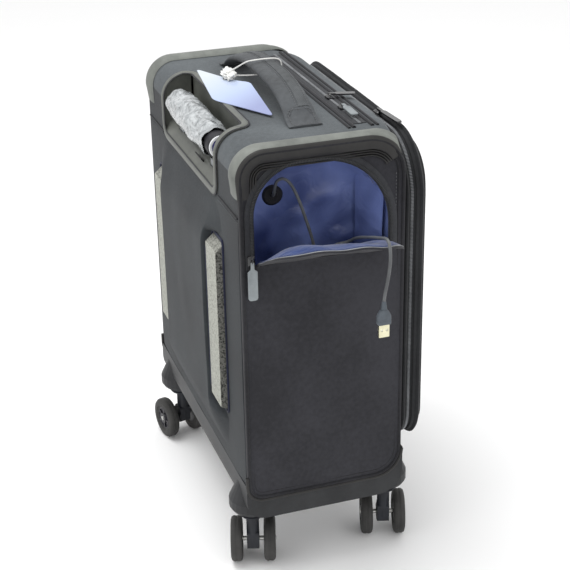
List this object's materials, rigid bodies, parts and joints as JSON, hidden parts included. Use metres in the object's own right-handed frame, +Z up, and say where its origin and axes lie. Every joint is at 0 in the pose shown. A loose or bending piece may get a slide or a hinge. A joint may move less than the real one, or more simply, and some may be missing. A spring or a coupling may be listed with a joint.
{
  "type": "spinner suitcase with cable pocket",
  "caption": "Soft-sided cabin spinner suitcase: zipped side cable pocket with its flap open and a USB cable over it, telescopic handle, padded carry handle and swivel casters.",
  "frame": {"origin": "middle of the outer box on the floor, under the wheels", "axes": "+Z up; +Y towards the back panel and telescopic handle; -X towards the side with the cable pocket"},
  "size_m": [0.5226, 0.25, 0.5911],
  "materials": {
    "axle_steel": "ground",
    "back_fabric": "fine woven polyester",
    "base_plastic": "fine grained",
    "bezel_plastic": "satin moulded",
    "cable_rubber": "satin",
    "caster_nylon": "glass-filled nylon",
    "eva_foam": "speckled EVA foam",
    "flap_fabric": "woven polyester with satin lining",
    "front_frame": "moulded",
    "grip_plastic": "soft-touch",
    "guard_plastic": "moulded, satin",
    "handle_fabric": "padded woven polyester",
    "handle_tube": "anodised",
    "lid_fabric": "fine woven polyester",
    "outer_tube": "dark anodised",
    "plug_metal": "nickel-plated",
    "plug_mould": "satin moulded",
    "pocket_lining": "blue satin",
    "port_rubber": "moulded",
    "puller_grey": "satin grey",
    "side_fabric": "woven ballistic polyester",
    "tag_card": "glossy card",
    "tag_elastic": "braided elastic",
    "top_fabric": "fine woven polyester",
    "wheel_rubber": "grey polyurethane",
    "zip_metal": "black enamel"
  },
  "bodies": {
    "case": {"back_pad": "back_fabric", "back_panel": "back_fabric", "base_tray": "base_plastic", "cable_pocket": "cable_rubber", "cable_port": "port_rubber", "carry_handle": "handle_fabric", "corner_guard_far": "guard_plastic", "corner_guard_near": "guard_plastic", "foam_bar_far": "eva_foam", "foam_bar_near": "eva_foam", "front_frame": "front_frame", "handle_anchor_far": "handle_fabric", "handle_anchor_near": "handle_fabric", "handle_bezel": "bezel_plastic", "hang_tag": "tag_card", "outer_tube_far": "outer_tube", "outer_tube_near": "outer_tube", "pocket_liner": "pocket_lining", "side_panel_far": "side_fabric", "side_panel_near": "side_fabric", "tag_string": "tag_elastic", "top_panel": "top_fabric"},
    "caster_far_back": {"axle_far_back": "axle_steel", "fork_far_back": "caster_nylon"},
    "caster_far_front": {"axle_far_front": "axle_steel", "fork_far_front": "caster_nylon"},
    "caster_near_back": {"axle_near_back": "axle_steel", "fork_near_back": "caster_nylon"},
    "caster_near_front": {"axle_near_front": "axle_steel", "fork_near_front": "caster_nylon"},
    "cable_end": {"cable_drop": "cable_rubber", "plug_overmould": "plug_mould", "plug_relief": "plug_mould", "plug_shell": "plug_metal"},
    "flap": {"cable_flap": "cable_rubber", "pocket_flap": "flap_fabric"},
    "handle_grip": {"grip": "grip_plastic", "inner_tube_far": "handle_tube", "inner_tube_near": "handle_tube"},
    "button": {"grip_button": "grip_plastic"},
    "lid": {"lid_front_panel": "lid_fabric", "lid_shell": "lid_fabric"},
    "lid_zip_puller": {"lid_zip_puller": "zip_metal"},
    "lid_zip_slider": {"lid_zip_slider": "zip_metal"},
    "main_far_puller": {"main_far_puller": "zip_metal"},
    "main_far_slider": {"main_far_slider": "zip_metal"},
    "main_near_puller": {"main_near_puller": "puller_grey"},
    "main_near_slider": {"main_near_slider": "zip_metal"},
    "handle_mid": {"mid_tube_far": "handle_tube", "mid_tube_near": "handle_tube"},
    "pocket_puller": {"pocket_puller": "puller_grey"},
    "pocket_slider": {"pocket_slider": "zip_metal"},
    "wheel_far_back_a": {"wheel_far_back_a": "wheel_rubber"},
    "wheel_far_back_b": {"wheel_far_back_b": "wheel_rubber"},
    "wheel_far_front_a": {"wheel_far_front_a": "wheel_rubber"},
    "wheel_far_front_b": {"wheel_far_front_b": "wheel_rubber"},
    "wheel_near_back_a": {"wheel_near_back_a": "wheel_rubber"},
    "wheel_near_back_b": {"wheel_near_back_b": "wheel_rubber"},
    "wheel_near_front_a": {"wheel_near_front_a": "wheel_rubber"},
    "wheel_near_front_b": {"wheel_near_front_b": "wheel_rubber"}
  },
  "joints": [
    {"name": "lid_hinge", "type": "hinge", "parent": "case", "child": "lid", "pos_m": [0.25046, -0.09124, 0.15], "axis": [0, 0, 1], "range_deg": [0, 170]},
    {"name": "flap_hinge", "type": "hinge", "parent": "case", "child": "flap", "pos_m": [-0.15404, 0.00746, 0.418], "axis": [0, 1, 0], "range_deg": [-99, 50]},
    {"name": "cable_sway", "type": "hinge", "parent": "flap", "child": "cable_end", "pos_m": [-0.26084, -0.02754, 0.4523], "axis": [0, 1, 0], "range_deg": [-50, 99]},
    {"name": "handle_lower_stage", "type": "slide", "parent": "case", "child": "handle_mid", "axis": [0, 0, 1], "range_m": [0, 0.24]},
    {"name": "handle_upper_stage", "type": "slide", "parent": "handle_mid", "child": "handle_grip", "axis": [0, 0, 1], "range_m": [0, 0.23]},
    {"name": "grip_button_press", "type": "slide", "parent": "handle_grip", "child": "button", "axis": [0, 0, -1], "range_m": [0, 0.002], "stiffness_N_per_m": 300},
    {"name": "pocket_zip_slide", "type": "slide", "parent": "case", "child": "pocket_slider", "axis": [0, 0, 1], "range_m": [0, 0.045]},
    {"name": "main_zip_near_slide", "type": "slide", "parent": "case", "child": "main_near_slider", "axis": [1, 0, 0], "range_m": [-0.025, 0.025]},
    {"name": "main_zip_far_slide", "type": "slide", "parent": "case", "child": "main_far_slider", "axis": [1, 0, 0], "range_m": [0, 0.17]},
    {"name": "lid_zip_slide", "type": "slide", "parent": "lid", "child": "lid_zip_slider", "axis": [1, 0, 0], "range_m": [-0.02, 0.2]},
    {"name": "pocket_puller_swing", "type": "hinge", "parent": "pocket_slider", "child": "pocket_puller", "pos_m": [-0.16104, 0.09346, 0.4265], "axis": [0, 1, 0], "range_deg": [0, 150]},
    {"name": "main_near_puller_swing", "type": "hinge", "parent": "main_near_slider", "child": "main_near_puller", "pos_m": [-0.04904, -0.05502, 0.55678], "axis": [0, 1, 0], "range_deg": [0, 160]},
    {"name": "main_far_puller_swing", "type": "hinge", "parent": "main_far_slider", "child": "main_far_puller", "pos_m": [-0.00604, -0.05502, 0.55678], "axis": [-0.9701, 0.2425, 0], "range_deg": [0, 160]},
    {"name": "lid_zip_puller_swing", "type": "hinge", "parent": "lid_zip_slider", "child": "lid_zip_puller", "pos_m": [-0.04204, -0.10224, 0.5436], "axis": [-0.0599, 0.9982, 0], "range_deg": [0, 160]},
    {"name": "caster_near_back_swivel", "type": "hinge", "parent": "case", "child": "caster_near_back", "pos_m": [-0.12004, 0.09046, 0.08], "axis": [0, 0, 1], "continuous": true},
    {"name": "wheel_near_back_a_spin", "type": "hinge", "parent": "caster_near_back", "child": "wheel_near_back_a", "pos_m": [-0.1023, 0.10625, 0.0285], "axis": [-0.309, -0.9511, 0], "continuous": true},
    {"name": "wheel_near_back_b_spin", "type": "hinge", "parent": "caster_near_back", "child": "wheel_near_back_b", "pos_m": [-0.11497, 0.06725, 0.0285], "axis": [-0.309, -0.9511, 0], "continuous": true},
    {"name": "caster_near_front_swivel", "type": "hinge", "parent": "case", "child": "caster_near_front", "pos_m": [-0.12004, -0.08254, 0.08], "axis": [0, 0, 1], "continuous": true},
    {"name": "wheel_near_front_a_spin", "type": "hinge", "parent": "caster_near_front", "child": "wheel_near_front_a", "pos_m": [-0.1023, -0.06675, 0.0285], "axis": [-0.309, -0.9511, 0], "continuous": true},
    {"name": "wheel_near_front_b_spin", "type": "hinge", "parent": "caster_near_front", "child": "wheel_near_front_b", "pos_m": [-0.11497, -0.10575, 0.0285], "axis": [-0.309, -0.9511, 0], "continuous": true},
    {"name": "caster_far_back_swivel", "type": "hinge", "parent": "case", "child": "caster_far_back", "pos_m": [0.21196, 0.09046, 0.08], "axis": [0, 0, 1], "continuous": true},
    {"name": "wheel_far_back_a_spin", "type": "hinge", "parent": "caster_far_back", "child": "wheel_far_back_a", "pos_m": [0.21943, 0.11301, 0.0285], "axis": [0.2079, -0.9781, 0], "continuous": true},
    {"name": "wheel_far_back_b_spin", "type": "hinge", "parent": "caster_far_back", "child": "wheel_far_back_b", "pos_m": [0.22796, 0.0729, 0.0285], "axis": [0.2079, -0.9781, 0], "continuous": true},
    {"name": "caster_far_front_swivel", "type": "hinge", "parent": "case", "child": "caster_far_front", "pos_m": [0.21196, -0.08254, 0.08], "axis": [0, 0, 1], "continuous": true},
    {"name": "wheel_far_front_a_spin", "type": "hinge", "parent": "caster_far_front", "child": "wheel_far_front_a", "pos_m": [0.2326, -0.07079, 0.0285], "axis": [-0.5, -0.866, 0], "continuous": true},
    {"name": "wheel_far_front_b_spin", "type": "hinge", "parent": "caster_far_front", "child": "wheel_far_front_b", "pos_m": [0.2121, -0.10629, 0.0285], "axis": [-0.5, -0.866, 0], "continuous": true}
  ],
  "couplings": [
    {"joint": "cable_sway", "follows": "flap_hinge", "ratio": -1}
  ]
}
